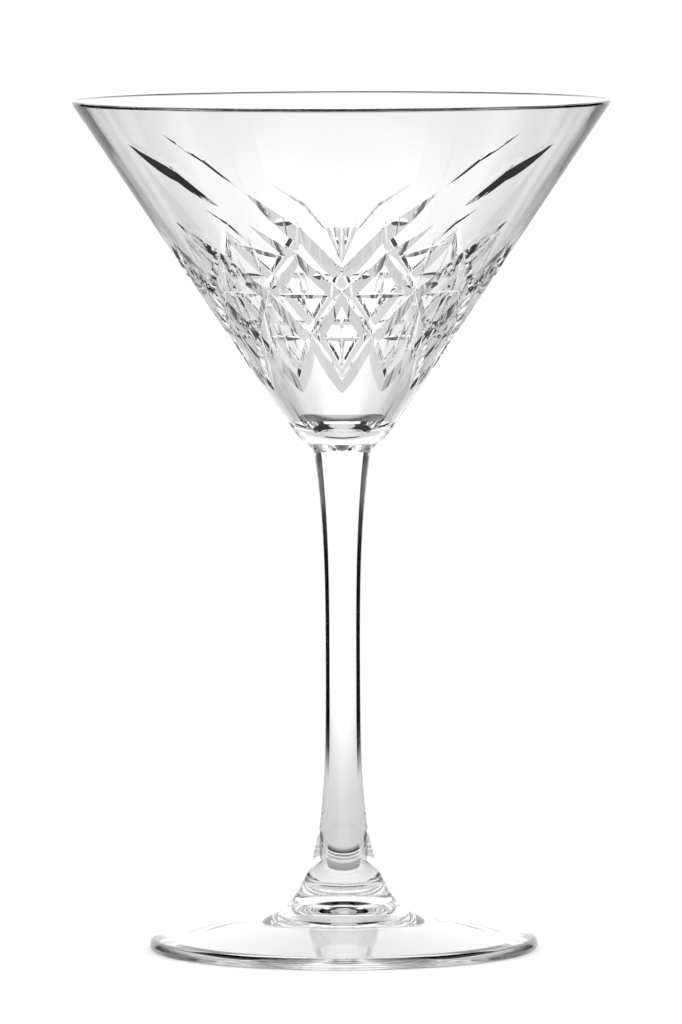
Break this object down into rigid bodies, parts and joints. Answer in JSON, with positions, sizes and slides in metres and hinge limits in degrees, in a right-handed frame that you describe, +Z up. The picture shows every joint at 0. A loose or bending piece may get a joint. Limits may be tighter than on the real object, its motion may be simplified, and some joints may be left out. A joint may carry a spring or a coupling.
{
  "type": "martini glass",
  "caption": "Stemmed cocktail glass with a wide conical bowl, pressed diamond, star and leaf relief, a slender waisted stem and a round foot.",
  "frame": {"origin": "centre of the foot's flat resting ring", "axes": "+Z up along the stem to the rim; the middle of the relief faces -Y"},
  "size_m": [0.109, 0.109, 0.1725],
  "materials": {
    "clear_glass": "clear, polished, colourless"
  },
  "bodies": {
    "root": {"bowl": "clear_glass", "stem": "clear_glass", "foot": "clear_glass"}
  },
  "joints": []
}
